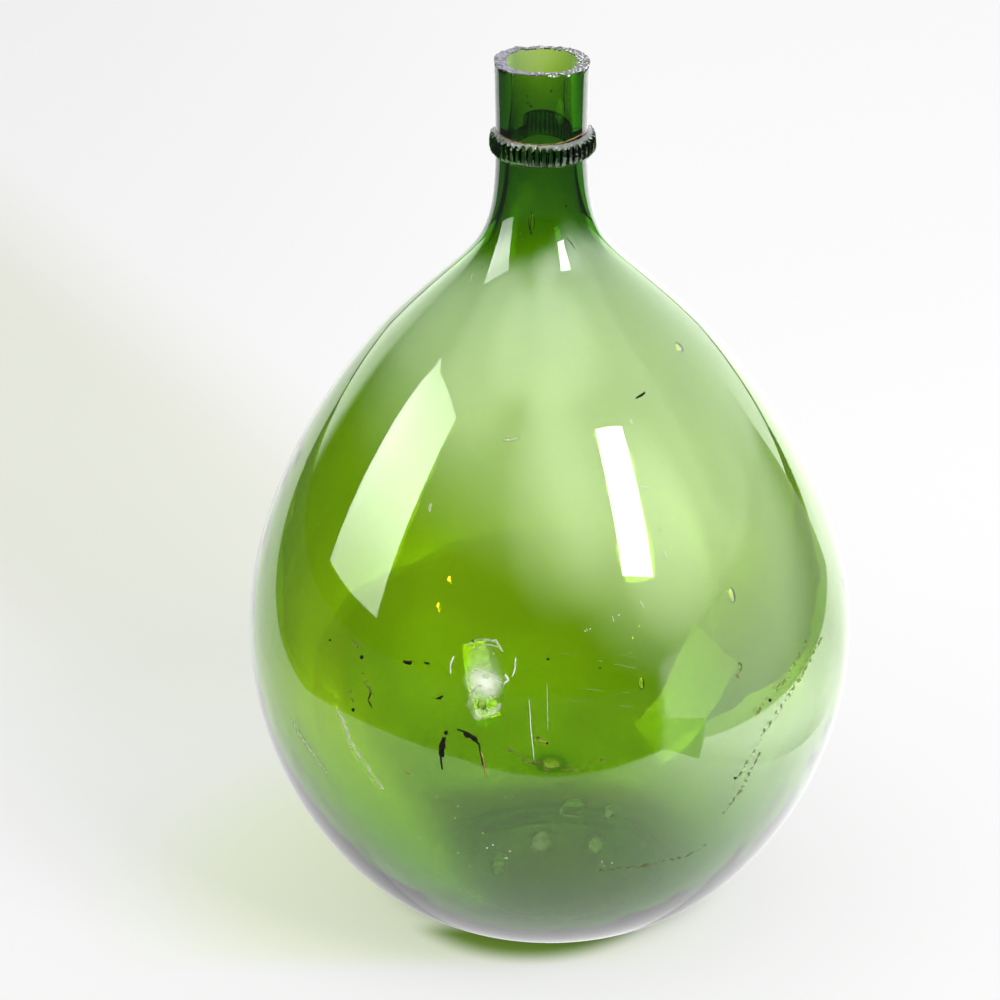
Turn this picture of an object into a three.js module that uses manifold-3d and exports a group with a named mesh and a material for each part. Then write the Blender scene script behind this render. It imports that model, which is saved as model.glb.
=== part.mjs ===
// A free-blown glass demijohn: a pear-shaped carboy with a pushed-up base, a long narrow neck whose
// mouth was cracked off and left rough, and a band of glass laid on hot round the neck.
//
// The vessel is blown in one piece. The band is a second gather of glass, wound on in one turn and
// pressed with upright ribs. It starts as a low tongue at the back left and rises to its full height,
// and its blunt end stops on top of that tongue, so the joint is a step.
//
// Units are millimetres. +Z is up, the origin is the centre of the foot on the table, -Y is the front.

import * as THREE from "three";
import { mergeVertices } from "three/addons/utils/BufferGeometryUtils.js";
import Module from "manifold-3d";

const wasm = await Module();
wasm.setup();

// Vessel outside, from the table up
const FOOT_RADIUS = 80; // outer edge of the flat ring that the vessel stands on
const FOOT_WIDTH = 7;
const PUNT_HEIGHT = 16; // how far the base is pushed up
const BELLY_RADIUS = 195;
const BELLY_HEIGHT = 188.5; // table to the widest place
const SHOULDER_RADIUS = 97.7;
const SHOULDER_RISE = 210; // widest place to where the outline turns hollow
const SHOULDER_LEAN = 44.5; // how far the outline leans from upright at the shoulder, in degrees
const SWEEP_RISE = 122.5; // shoulder to where the neck is narrowest
const NECK_RADIUS = 28.8; // at its narrowest
const NECK_RISE = 56; // narrowest place to the mouth
const MOUTH_RADIUS = 29.7;

// How far each stretch of the outline runs straight on before it turns
const HEEL_HOLD = 32;
const LOWER_BELLY_HOLD = 114;
const UPPER_BELLY_HOLD = 90;
const SHOULDER_HOLD_BELOW = 40;
const SHOULDER_HOLD_ABOVE = 76.5;
const SWEEP_HOLD = 71;
const MOUTH_HOLD = 18;

// Vessel walls
const PUNT_WALL = 8;
const HEEL_WALL = 6;
const BELLY_WALL = 3.4;
const SHOULDER_WALL = 3.7;
const NECK_WALL = 7.3;
const MOUTH_WALL = 7.9; // at the sides of the mouth
const MOUTH_WALL_FRONT = 4.8; // the bore is drawn out from front to back where it nears the mouth

// What the blower's hand and the cracking-off left uneven
const NECK_OFFSET = -6.3; // the neck stands this far to the left of the belly's axis
const MOUTH_TILT_BACK = 1.9; // the cut is this much lower at the back than at the front
const MOUTH_TILT_SIDE = 0.8; // and this much lower at the right than at the left
const MOUTH_WAVE = 0.6; // the cut rises and falls by this much, three times round the mouth
const MOUTH_CHIP = 0.35; // and by this much where small flakes broke away

// Band round the neck
const BAND_DROP = 52.5; // mouth to the middle of the band
const BAND_HEIGHT = 15.6;
const BAND_PROUD = 2.7; // how far the band stands out from its seat
const BAND_LEAN = 0.8; // it is this much thicker at its right side, and thinner at its left
const BAND_SEAT_GAP = 0.3;
const BAND_START = 26; // the tongue starts this far to the left of the middle of the back, in degrees
const BAND_LAP = 9; // how far the band's end lies on the tongue, in degrees
const TONGUE_HEIGHT = 8;
const TONGUE_REACH = 58; // how far round the tongue has risen to the band's height, in degrees
const END_ROUND = 5.5; // the end's corner is rounded over this angle, in degrees
const RIB_COUNT = 45;
const RIB_HEIGHT = 0.6; // how far a rib stands out from the band
const RIB_LENGTH = 10;
const RIB_FADE = 1.6; // a rib runs out into the band over this length

// Facets
const SIDES = 64;
const STEPS_PER_RIB = 4;

const BELLY_Z = BELLY_HEIGHT;
const SHOULDER_Z = BELLY_Z + SHOULDER_RISE;
const NECK_Z = SHOULDER_Z + SWEEP_RISE;
const MOUTH_Z = NECK_Z + NECK_RISE;
const BAND_Z = MOUTH_Z - BAND_DROP;
const BAND_TURN = 360 + BAND_LAP;

const radians = THREE.MathUtils.degToRad;
const smooth = THREE.MathUtils.smoothstep;
const at = (radius, height) => new THREE.Vector2(radius, height);
const up = (length) => at(0, length);
const out = (length) => at(length, 0);

// A step along the shoulder's outline, up and inwards, and one square to it, into the glass.
const lean = radians(SHOULDER_LEAN);
const alongShoulder = (length) => at(-Math.sin(lean), Math.cos(lean)).multiplyScalar(length);
const intoShoulder = (length) => at(-Math.cos(lean), -Math.sin(lean)).multiplyScalar(length);

// One curved stretch of an outline. It leaves the start by one hold and arrives at the end by the other.
function stretch(start, leave, arrive, end) {
  return new THREE.CubicBezierCurve(start, start.clone().add(leave), end.clone().sub(arrive), end);
}

// From the belly up to the mouth. The vessel's outer and inner skins are both drawn by it.
function upperOutline(belly, shoulder, neck, mouth) {
  return [
    stretch(belly, up(UPPER_BELLY_HOLD), alongShoulder(SHOULDER_HOLD_BELOW), shoulder),
    stretch(shoulder, alongShoulder(SHOULDER_HOLD_ABOVE), up(SWEEP_HOLD), neck),
    stretch(neck, up(MOUTH_HOLD), at((mouth.x - neck.x) / 2, MOUTH_HOLD), mouth),
  ];
}

const outerBelly = at(BELLY_RADIUS, BELLY_Z);
const outerShoulder = at(SHOULDER_RADIUS, SHOULDER_Z);
const outerNeck = at(NECK_RADIUS, NECK_Z);
const outerMouth = at(MOUTH_RADIUS, MOUTH_Z);
const innerBelly = outerBelly.clone().sub(out(BELLY_WALL));
const innerShoulder = outerShoulder.clone().add(intoShoulder(SHOULDER_WALL));
const innerNeck = outerNeck.clone().sub(out(NECK_WALL));
const innerMouth = outerMouth.clone().sub(out(MOUTH_WALL));

const outerUpper = upperOutline(outerBelly, outerShoulder, outerNeck, outerMouth);
const innerUpper = upperOutline(innerBelly, innerShoulder, innerNeck, innerMouth);

// The underside: from the middle of the push-up down to the flat foot, and out to the belly.
function outerLowerOutline() {
  const crown = at(0, PUNT_HEIGHT);
  const footInner = at(FOOT_RADIUS - FOOT_WIDTH, 0);
  const footOuter = at(FOOT_RADIUS, 0);
  return [
    stretch(crown, out(footInner.x / 2), at(footInner.x / 8, -PUNT_HEIGHT / 2), footInner),
    new THREE.LineCurve(footInner, footOuter),
    stretch(footOuter, out(HEEL_HOLD), up(LOWER_BELLY_HOLD), outerBelly),
  ];
}

// The floor inside: over the push-up, down into the trough above the foot, and out to the belly.
function innerLowerOutline() {
  const crown = at(0, PUNT_HEIGHT + PUNT_WALL);
  const trough = at(FOOT_RADIUS - FOOT_WIDTH / 2, HEEL_WALL);
  return [
    stretch(crown, out(trough.x / 2), out(trough.x / 4), trough),
    stretch(trough, out(HEEL_HOLD), up(LOWER_BELLY_HOLD - HEEL_WALL), innerBelly),
  ];
}

// The points of several stretches on end, each with its own number of steps.
function trace(curves, steps) {
  return curves.flatMap((curve, i) => curve.getPoints(steps[i]).slice(i ? 1 : 0));
}

// How far the vessel has drifted to the side at a height: not at all in the belly, fully in the neck.
function drift(z) {
  return NECK_OFFSET * smooth(z, BELLY_Z, NECK_Z);
}

// The cut at the mouth tilts, waves and is chipped. The neck below the break keeps its place.
function mouthShift(x, y, z) {
  const angle = Math.atan2(y, x);
  const tilt = (-MOUTH_TILT_BACK * y - MOUTH_TILT_SIDE * x) / (2 * MOUTH_RADIUS);
  const wave = MOUTH_WAVE * Math.cos(3 * (angle - Math.PI / 6));
  const chips = MOUTH_CHIP * Math.sin(11 * angle) * Math.cos(4 * angle + 1);
  return (tilt + wave + chips) * smooth(z, BAND_Z + BAND_HEIGHT, MOUTH_Z);
}

// How much longer the bore is from front to back than from side to side.
function boreStretch(radius, z) {
  const isBore = radius < MOUTH_RADIUS - MOUTH_WALL / 2;
  const most = (MOUTH_RADIUS - MOUTH_WALL_FRONT) / (MOUTH_RADIUS - MOUTH_WALL) - 1;
  return isBore ? 1 + most * smooth(z, NECK_Z, MOUTH_Z) : 1;
}

function makeVessel() {
  const outer = trace([...outerLowerOutline(), ...outerUpper], [6, 1, 11, 8, 9, 4]);
  const inner = trace([...innerLowerOutline(), ...innerUpper], [6, 9, 7, 8, 4]);
  const geometry = new THREE.LatheGeometry([...outer, ...inner.reverse()], SIDES);
  geometry.rotateX(Math.PI / 2);
  const places = geometry.getAttribute("position");
  const point = new THREE.Vector3();
  for (let i = 0; i < places.count; i++) {
    const { x, y, z } = point.fromBufferAttribute(places, i);
    const longer = boreStretch(Math.hypot(x, y), z);
    places.setXYZ(i, x + drift(z), y * longer, z + mouthShift(x, y, z));
  }
  return geometry;
}

// The neck's outer radius at a height, found by halving the stretch of outline that spans it.
function neckRadiusAt(height) {
  const curve = outerUpper[height < NECK_Z ? 1 : 2];
  let low = 0;
  let high = 1;
  while (high - low > 1e-6) {
    const middle = (low + high) / 2;
    if (curve.getPoint(middle).y < height) low = middle;
    else high = middle;
  }
  return curve.getPoint(low).x;
}

// The band's height where it has run the given angle from its start.
function bandHeightAt(run) {
  const risen = smooth(run, TONGUE_REACH / 2, TONGUE_REACH);
  const beyond = THREE.MathUtils.clamp((run - BAND_TURN) / END_ROUND + 1, 0, 1);
  const corner = 1 - Math.sqrt(1 - beyond * beyond);
  return TONGUE_HEIGHT + (BAND_HEIGHT - TONGUE_HEIGHT) * (risen - 0.6 * corner);
}

// How far a rib stands out where the band has run an angle, at a height from the band's middle.
function ribAt(run, lift) {
  const crest = Math.max(Math.cos(radians(run * RIB_COUNT)), 0);
  const halfLength = RIB_LENGTH / 2;
  return RIB_HEIGHT * crest * (1 - smooth(Math.abs(lift), halfLength - RIB_FADE, halfLength));
}

// The band's section from its lower edge to its upper one: shares of its height and of its thickness.
function bandSection() {
  const bulge = new THREE.SplineCurve([at(0, 0), at(0.06, 0.55), at(0.2, 0.92), at(0.5, 1)]);
  const lower = bulge.getPoints(5);
  const upper = lower.slice(0, -1).reverse();
  return [...lower, ...upper.map((point) => at(1 - point.x, point.y))];
}

// The corners of the band's section where it has run an angle from its start.
function bandRing(run, section) {
  const angle = radians(90 + BAND_START + run);
  const height = bandHeightAt(run);
  const thickness = BAND_PROUD + BAND_LEAN * Math.cos(angle);
  const foot = BAND_Z - BAND_HEIGHT / 2;
  return section.map((share) => {
    const z = foot + share.x * height;
    const rib = share.y > 0.9 ? ribAt(run, z - BAND_Z) : 0;
    const seat = neckRadiusAt(z) + BAND_SEAT_GAP;
    const radius = seat + share.y * thickness + rib;
    return new THREE.Vector3(radius * Math.cos(angle) + drift(z), radius * Math.sin(angle), z);
  });
}

// The triangles of a skin over rings of points, closed at both ends by a fan.
function skinFaces(rings, size) {
  const faces = [];
  for (let ring = 0; ring < rings - 1; ring++) {
    for (let i = 0; i < size; i++) {
      const a = ring * size + i;
      const b = ring * size + ((i + 1) % size);
      faces.push(a, a + size, b + size, a, b + size, b);
    }
  }
  const last = (rings - 1) * size;
  for (let i = 1; i < size - 1; i++) {
    faces.push(0, i, i + 1, last, last + i + 1, last + i);
  }
  return faces;
}

// A length of the band between two angles from its start.
function bandLength(from, to) {
  const section = bandSection();
  const steps = Math.round(((to - from) / 360) * RIB_COUNT * STEPS_PER_RIB);
  const rings = [];
  for (let i = 0; i <= steps; i++) {
    rings.push(bandRing(THREE.MathUtils.lerp(from, to, i / steps), section));
  }
  const geometry = new THREE.BufferGeometry().setFromPoints(rings.flat());
  return geometry.setIndex(skinFaces(rings.length, section.length));
}

function toSolid(geometry) {
  const merged = mergeVertices(geometry, 1e-4);
  const vertProperties = merged.getAttribute("position").array;
  const triVerts = new Uint32Array(merged.getIndex().array);
  return new wasm.Manifold(new wasm.Mesh({ numProp: 3, vertProperties, triVerts }));
}

function toGeometry(solid) {
  const mesh = solid.getMesh();
  const geometry = new THREE.BufferGeometry();
  geometry.setAttribute("position", new THREE.BufferAttribute(mesh.vertProperties, 3));
  return geometry.setIndex(new THREE.BufferAttribute(mesh.triVerts, 1));
}

// The band's end lies over its own start, so it is made in two lengths that are then joined.
function makeBand() {
  const half = BAND_TURN / 2;
  const overlap = 360 / RIB_COUNT;
  const first = toSolid(bandLength(0, half));
  const second = toSolid(bandLength(half - overlap, BAND_TURN));
  return toGeometry(first.add(second));
}

const vesselGlass = new THREE.MeshStandardMaterial({
  color: 0x5d9a1e,
  roughness: 0.05,
  metalness: 0,
  transparent: true,
  opacity: 0.6,
});

const bandGlass = new THREE.MeshStandardMaterial({
  color: 0x2f5a17,
  roughness: 0.12,
  metalness: 0,
  transparent: true,
  opacity: 0.75,
});

function part(name, geometry, material) {
  geometry.computeVertexNormals();
  const mesh = new THREE.Mesh(geometry, material);
  mesh.name = name;
  return mesh;
}

const demijohn = new THREE.Group();
demijohn.add(part("glass_vessel", makeVessel(), vesselGlass));
demijohn.add(part("neck_band", makeBand(), bandGlass));

export default demijohn;
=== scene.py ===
"""A free-blown glass demijohn with a cracked-off mouth and a ribbed band of glass round its neck.

Lengths are metres, +Z is up, and the vessel stands at the origin with its front towards -Y.
"""

import math

import bmesh
import bpy
import numpy as np
from mathutils import Matrix, Quaternion, Vector, noise
from mathutils.bvhtree import BVHTree


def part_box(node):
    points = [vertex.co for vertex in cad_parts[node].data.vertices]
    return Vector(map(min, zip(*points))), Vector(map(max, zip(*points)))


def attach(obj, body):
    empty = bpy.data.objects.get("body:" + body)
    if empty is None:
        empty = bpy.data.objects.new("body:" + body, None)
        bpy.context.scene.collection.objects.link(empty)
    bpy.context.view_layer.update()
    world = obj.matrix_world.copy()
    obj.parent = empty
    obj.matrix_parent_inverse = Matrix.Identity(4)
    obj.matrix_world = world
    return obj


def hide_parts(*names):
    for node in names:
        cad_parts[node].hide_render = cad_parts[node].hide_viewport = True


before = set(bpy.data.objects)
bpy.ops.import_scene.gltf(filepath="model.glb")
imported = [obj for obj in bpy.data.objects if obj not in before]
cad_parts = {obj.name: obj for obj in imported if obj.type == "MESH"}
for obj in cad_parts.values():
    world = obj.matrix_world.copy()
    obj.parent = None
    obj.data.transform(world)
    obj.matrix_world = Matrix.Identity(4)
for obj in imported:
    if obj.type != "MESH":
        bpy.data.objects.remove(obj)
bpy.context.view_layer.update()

MM = 0.001

# Vessel outside, from the table up
FOOT_RADIUS = 80 * MM
FOOT_WIDTH = 7 * MM
PUNT_HEIGHT = 16 * MM
BELLY_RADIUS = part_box("glass_vessel")[1].x
BELLY_Z = 188.5 * MM
SHOULDER_RADIUS = 97.7 * MM
SHOULDER_Z = BELLY_Z + 210 * MM
SHOULDER_LEAN = math.radians(44.5)
NECK_RADIUS = 28.8 * MM
NECK_Z = SHOULDER_Z + 122.5 * MM
MOUTH_RADIUS = 29.7 * MM
MOUTH_Z = NECK_Z + 56 * MM
HEEL_HOLD = 32 * MM
LOWER_BELLY_HOLD = 114 * MM
UPPER_BELLY_HOLD = 90 * MM
SHOULDER_HOLD_BELOW = 40 * MM
SHOULDER_HOLD_ABOVE = 76.5 * MM
SWEEP_HOLD = 71 * MM
MOUTH_HOLD = 18 * MM

# Vessel walls
PUNT_WALL = 8 * MM
HEEL_WALL = 6 * MM
BELLY_WALL = 3.4 * MM
SHOULDER_WALL = 3.7 * MM
NECK_WALL = 8.6 * MM
MOUTH_WALL = 7.9 * MM
MOUTH_WALL_FRONT = 4.8 * MM

# The cracked-off mouth and the leaning neck
NECK_OFFSET = -6.3 * MM
MOUTH_TILT_BACK = 1.9 * MM
MOUTH_TILT_SIDE = 0.8 * MM
MOUTH_WAVE = 0.6 * MM
MOUTH_WAVE_COUNT = 3
MOUTH_WAVE_ANGLE = math.pi / 6
MOUTH_CHIP = 0.35 * MM
MOUTH_CHIP_COUNTS = (11, 4)

# Band round the neck, with its turns in degrees
BAND_Z = MOUTH_Z - 52.5 * MM
BAND_HEIGHT = 15.6 * MM
BAND_PROUD = 2.7 * MM
BAND_LEAN = 0.8 * MM
BAND_GAP = 0.1 * MM
BACK = 90
BAND_START = 26
BAND_LAP = 9
BAND_TURN = 360 + BAND_LAP
BAND_ROWS = 28
BAND_STEPS_PER_DEGREE = 2.5
BAND_ROUNDNESS = 0.45
TONGUE_HEIGHT = 8 * MM
TONGUE_REACH = 58
END_ROUND = 5.5
END_DROP = 0.6
RIB_COUNT = 45
RIB_HEIGHT = 1.9 * MM
RIB_LENGTH = 14.5 * MM
RIB_FADE = 2.2 * MM
RIB_SHARPNESS = 1.5
RIB_UNEVEN = 0.5
RIB_UNEVEN_OVER = 5
RIB_SEED = 0.5

# Break round the mouth
RIM_DEPTH = 6 * MM
RIM_STEP = 0.6 * MM
LIP_ROWS = 18
EDGE_CHIP_REACH = 2.5 * MM
FLAKE_REACH = (0.5 * MM, 2.2 * MM)
FLAKE_LUMPS = (3 * MM, 9.1)
FLAKE_EDGE = 0.7
# A whitish film inside the top of the bore, which makes it paler: how deep it reaches, and how much it covers
BORE_PALE_DEPTH = (14 * MM, 34 * MM)
BORE_PALE_COVER = 0.14

# Uneven places of blown and broken glass, each with a depth, a size and a noise seed
BAND_DENTS = (0.38 * MM, 2.4 * MM, 6.2)
RIM_COARSE = (0.6 * MM, 8 * MM, 1.3)
RIM_FINE = (0.5 * MM, 2.2 * MM, 3.9)
EDGE_CHIP = (1.7 * MM, 4 * MM, 5.3)
OUTER_WAVE = (0.1 * MM, 80 * MM, 7.7)
INNER_WAVE = (0.3 * MM, 60 * MM, 2.9)
INNER_RIPPLE = (0.12 * MM, 16 * MM, 4.1)
WAVES_FROM = (20 * MM, 70 * MM)

# Mesh fineness
SIDES = 288
OUTLINE_STEP = 4.2 * MM
LEAST_STEPS = 6
MERGE_DISTANCE = 0.001 * MM
SHARP_ANGLE = math.radians(40)

# Photograph: where the camera stood and how it looked down
CAMERA_PLACE = (-0.0322, -2.8, 1.62)
CAMERA_PITCH = math.radians(25.63)
SENSOR_WIDTH = 36
FRAME_PIXELS = 1000
FOCAL_PIXELS = 4831.5
VIEW_DEPTH = 50
CAMERA_AIM = (0, math.cos(CAMERA_PITCH), -math.sin(CAMERA_PITCH))

scene = bpy.context.scene


def smooth(value, low, high):
    share = min(max((value - low) / (high - low), 0), 1)
    return share * share * (3 - 2 * share)


def bumps(place, size, seed=0.0):
    """Smooth lumps between about -1 and 1, each about `size` across."""
    return noise.noise(Vector(place) / size + Vector((seed, seed, seed)))


def new_object(name, vertices, faces):
    mesh = bpy.data.meshes.new(name)
    mesh.from_pydata([tuple(v) for v in vertices], [], faces)
    mesh.validate()
    mesh.polygons.foreach_set("use_smooth", [True] * len(mesh.polygons))
    thing = bpy.data.objects.new(name, mesh)
    scene.collection.objects.link(thing)
    return thing


def make_camera():
    data = bpy.data.cameras.new("camera")
    data.sensor_width = SENSOR_WIDTH
    data.lens = FOCAL_PIXELS * SENSOR_WIDTH / FRAME_PIXELS
    data.clip_end = VIEW_DEPTH
    camera = bpy.data.objects.new("camera", data)
    camera.location = CAMERA_PLACE
    camera.rotation_euler = (math.pi / 2 - CAMERA_PITCH, 0, 0)
    scene.collection.objects.link(camera)
    scene.camera = camera


# Outline of the vessel

def point(radius, height):
    return np.array([radius, height], float)


def up(length):
    return point(0, length)


def out(length):
    return point(length, 0)


def along_shoulder(length):
    return point(-math.sin(SHOULDER_LEAN), math.cos(SHOULDER_LEAN)) * length


def into_shoulder(length):
    return point(-math.cos(SHOULDER_LEAN), -math.sin(SHOULDER_LEAN)) * length


def stretch(start, leave, arrive, end):
    """One curved stretch of an outline, as points about OUTLINE_STEP apart."""
    length = np.linalg.norm(end - start)
    count = max(int(length / OUTLINE_STEP), LEAST_STEPS)
    t = np.linspace(0, 1, count + 1)[:, None]
    a, b = start + leave, end - arrive
    return (1 - t) ** 3 * start + 3 * (1 - t) ** 2 * t * a + 3 * (1 - t) * t * t * b + t ** 3 * end


def joined(stretches):
    return np.vstack([stretches[0]] + [s[1:] for s in stretches[1:]])


def upper_outline(belly, shoulder, neck, mouth):
    flare = point((mouth[0] - neck[0]) / 2, MOUTH_HOLD)
    return [
        stretch(belly, up(UPPER_BELLY_HOLD), along_shoulder(SHOULDER_HOLD_BELOW), shoulder),
        stretch(shoulder, along_shoulder(SHOULDER_HOLD_ABOVE), up(SWEEP_HOLD), neck),
        stretch(neck, up(MOUTH_HOLD), flare, mouth),
    ]


OUTER_BELLY = point(BELLY_RADIUS, BELLY_Z)
OUTER_SHOULDER = point(SHOULDER_RADIUS, SHOULDER_Z)
OUTER_NECK = point(NECK_RADIUS, NECK_Z)
OUTER_MOUTH = point(MOUTH_RADIUS, MOUTH_Z)
INNER_BELLY = OUTER_BELLY - out(BELLY_WALL)
INNER_SHOULDER = OUTER_SHOULDER + into_shoulder(SHOULDER_WALL)
INNER_NECK = OUTER_NECK - out(NECK_WALL)
INNER_MOUTH = OUTER_MOUTH - out(MOUTH_WALL)
OUTER_UPPER = upper_outline(OUTER_BELLY, OUTER_SHOULDER, OUTER_NECK, OUTER_MOUTH)
INNER_UPPER = upper_outline(INNER_BELLY, INNER_SHOULDER, INNER_NECK, INNER_MOUTH)
NECK_OUTLINE = joined(OUTER_UPPER)


def outer_outline():
    crown = point(0, PUNT_HEIGHT)
    foot_inner = point(FOOT_RADIUS - FOOT_WIDTH, 0)
    foot_outer = point(FOOT_RADIUS, 0)
    return joined([
        stretch(crown, out(foot_inner[0] / 2), out(foot_inner[0] / 3), foot_inner),
        stretch(foot_inner, out(FOOT_WIDTH / 3), out(FOOT_WIDTH / 3), foot_outer),
        stretch(foot_outer, out(HEEL_HOLD), up(LOWER_BELLY_HOLD), OUTER_BELLY),
        *OUTER_UPPER,
    ])


def inner_outline():
    crown = point(0, PUNT_HEIGHT + PUNT_WALL)
    trough = point(FOOT_RADIUS - FOOT_WIDTH / 2, HEEL_WALL)
    return joined([
        stretch(crown, out(trough[0] / 2), out(trough[0] / 3), trough),
        stretch(trough, out(HEEL_HOLD), up(LOWER_BELLY_HOLD - HEEL_WALL), INNER_BELLY),
        *INNER_UPPER,
    ])


def drift(z):
    return NECK_OFFSET * smooth(z, BELLY_Z, NECK_Z)


def mouth_shift(x, y, z):
    angle = math.atan2(y, x)
    tilt = (-MOUTH_TILT_BACK * y - MOUTH_TILT_SIDE * x) / (2 * MOUTH_RADIUS)
    wave = MOUTH_WAVE * math.cos(MOUTH_WAVE_COUNT * (angle - MOUTH_WAVE_ANGLE))
    chips = MOUTH_CHIP * math.sin(MOUTH_CHIP_COUNTS[0] * angle) * math.cos(MOUTH_CHIP_COUNTS[1] * angle + 1)
    return (tilt + wave + chips) * smooth(z, BAND_Z + BAND_HEIGHT, MOUTH_Z)


def bore_stretch(z):
    most = (MOUTH_RADIUS - MOUTH_WALL_FRONT) / (MOUTH_RADIUS - MOUTH_WALL) - 1
    return 1 + most * smooth(z, NECK_Z, MOUTH_Z)


def refined(outline, above, step):
    """The same outline with rows no more than a step apart where it lies above a height."""
    rows = [outline[0]]
    for start, end in zip(outline[:-1], outline[1:]):
        count = math.ceil(np.linalg.norm(end - start) / step) if min(start[1], end[1]) > above else 1
        rows.extend(start + (end - start) * i / count for i in range(1, count + 1))
    return np.array(rows)


def waviness(place, inside):
    """How far the skin lies inwards of its outline."""
    height = place[2]
    free = smooth(height, *WAVES_FROM) * (1 - smooth(height, SHOULDER_Z, NECK_Z))
    if not inside:
        return OUTER_WAVE[0] * (1 + bumps(place, *OUTER_WAVE[1:])) * free
    wave = INNER_WAVE[0] * bumps(place, *INNER_WAVE[1:])
    ripple = INNER_RIPPLE[0] * bumps(place, *INNER_RIPPLE[1:])
    return (wave + ripple) * free


def break_height(place, near_top):
    flat = (place[0], place[1], 0)
    return sum(depth * bumps(flat, size, seed) for depth, size, seed in (RIM_COARSE, RIM_FINE)) * near_top


def brokenness(place, share):
    """1 on the break and on the flakes that run down from it, 0 on whole glass."""
    if 0 < share < 1:
        return 1.0
    flake = max(bumps(place, *FLAKE_LUMPS), 0)
    reach = FLAKE_REACH[0] + FLAKE_REACH[1] * flake
    return 1.0 - smooth(MOUTH_Z - place[2], reach * FLAKE_EDGE, reach)


def make_vessel():
    outer = refined(outer_outline(), MOUTH_Z - RIM_DEPTH, RIM_STEP)
    inner = refined(inner_outline()[::-1], MOUTH_Z - RIM_DEPTH, RIM_STEP)
    lip = np.linspace(outer[-1], inner[0], LIP_ROWS)[1:-1]
    outline = np.vstack([outer, lip, inner])
    vertices, broken, bore_paled = [], [], []
    for row, (radius, height) in enumerate(outline):
        share = min(max((row - len(outer) + 1) / (len(lip) + 1), 0), 1)
        stretched = 1 + (bore_stretch(height) - 1) * share
        near_top = smooth(height, MOUTH_Z - RIM_DEPTH, MOUTH_Z)
        at_edge = (1 - share) * smooth(height, MOUTH_Z - EDGE_CHIP_REACH, MOUTH_Z)
        for side in range(SIDES):
            angle = 2 * math.pi * side / SIDES
            place = (radius * math.cos(angle), radius * math.sin(angle), height)
            pulled = radius - waviness(place, share == 1)
            pulled -= EDGE_CHIP[0] * max(bumps(place, *EDGE_CHIP[1:]), 0) * at_edge
            x, y = pulled * math.cos(angle), pulled * math.sin(angle)
            z = height + mouth_shift(x, y, height) + break_height(place, near_top)
            vertices.append((x + drift(height), y * stretched, z))
            broken.append(brokenness(place, share))
            # Share of the whitish film inside the top of the bore
            bore_paled.append(1 - smooth(MOUTH_Z - height, *BORE_PALE_DEPTH) if share == 1 else 0.0)
    faces = []
    for row in range(len(outline) - 1):
        for side in range(SIDES):
            a = row * SIDES + side
            b = row * SIDES + (side + 1) % SIDES
            faces.append((a, b, b + SIDES, a + SIDES))
    vessel = new_object("vessel", vertices, faces)
    for name, values in (("broken", broken), ("bore_paled", bore_paled)):
        vessel.data.attributes.new(name, "FLOAT", "POINT").data.foreach_set("value", values)
    merge_poles(vessel)
    return vessel


def merge_poles(thing):
    work = bmesh.new()
    work.from_mesh(thing.data)
    bmesh.ops.remove_doubles(work, verts=work.verts, dist=MERGE_DISTANCE)
    bmesh.ops.recalc_face_normals(work, faces=work.faces)
    work.to_mesh(thing.data)
    work.free()


# Band

def neck_radius_at(height):
    return float(np.interp(height, NECK_OUTLINE[:, 1], NECK_OUTLINE[:, 0]))


def band_height_at(run):
    risen = smooth(run, TONGUE_REACH / 2, TONGUE_REACH)
    beyond = min(max((run - BAND_TURN) / END_ROUND + 1, 0), 1)
    corner = 1 - math.sqrt(1 - beyond * beyond)
    return TONGUE_HEIGHT + (BAND_HEIGHT - TONGUE_HEIGHT) * (risen - END_DROP * corner)


def rib_at(run, lift):
    crest = max(math.cos(math.radians(run * RIB_COUNT)), 0) ** RIB_SHARPNESS
    half = RIB_LENGTH / 2
    height = RIB_HEIGHT * (1 + RIB_UNEVEN * bumps((run / RIB_UNEVEN_OVER, 0, 0), 1, RIB_SEED))
    return height * crest * (1 - smooth(abs(lift), half - RIB_FADE, half))


def make_band():
    shares = []
    for i in range(BAND_ROWS + 1):
        along = i / BAND_ROWS
        shares.append((along, math.sin(math.pi * along) ** BAND_ROUNDNESS))
    steps = int(BAND_TURN * BAND_STEPS_PER_DEGREE)
    foot = BAND_Z - BAND_HEIGHT / 2
    vertices = []
    for step in range(steps + 1):
        run = BAND_TURN * step / steps
        angle = math.radians(BACK + BAND_START + run)
        height = band_height_at(run)
        thickness = BAND_PROUD + BAND_LEAN * math.cos(angle)
        for along, bulge in shares:
            z = foot + along * height
            radius = neck_radius_at(z) + BAND_GAP + bulge * thickness + rib_at(run, z - BAND_Z)
            place = (radius * math.cos(angle), radius * math.sin(angle), z)
            radius += BAND_DENTS[0] * bumps(place, *BAND_DENTS[1:]) * bulge
            vertices.append((radius * math.cos(angle) + drift(z), radius * math.sin(angle), z))
    size = len(shares)
    faces = []
    for step in range(steps):
        for i in range(size):
            a = step * size + i
            b = step * size + (i + 1) % size
            faces.append((a, a + size, b + size, b))
    last = steps * size
    faces.append(tuple(range(size)))
    faces.append(tuple(last + i for i in reversed(range(size))))
    band = new_object("band", vertices, faces)
    merge_poles(band)
    return band


# Materials

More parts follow.
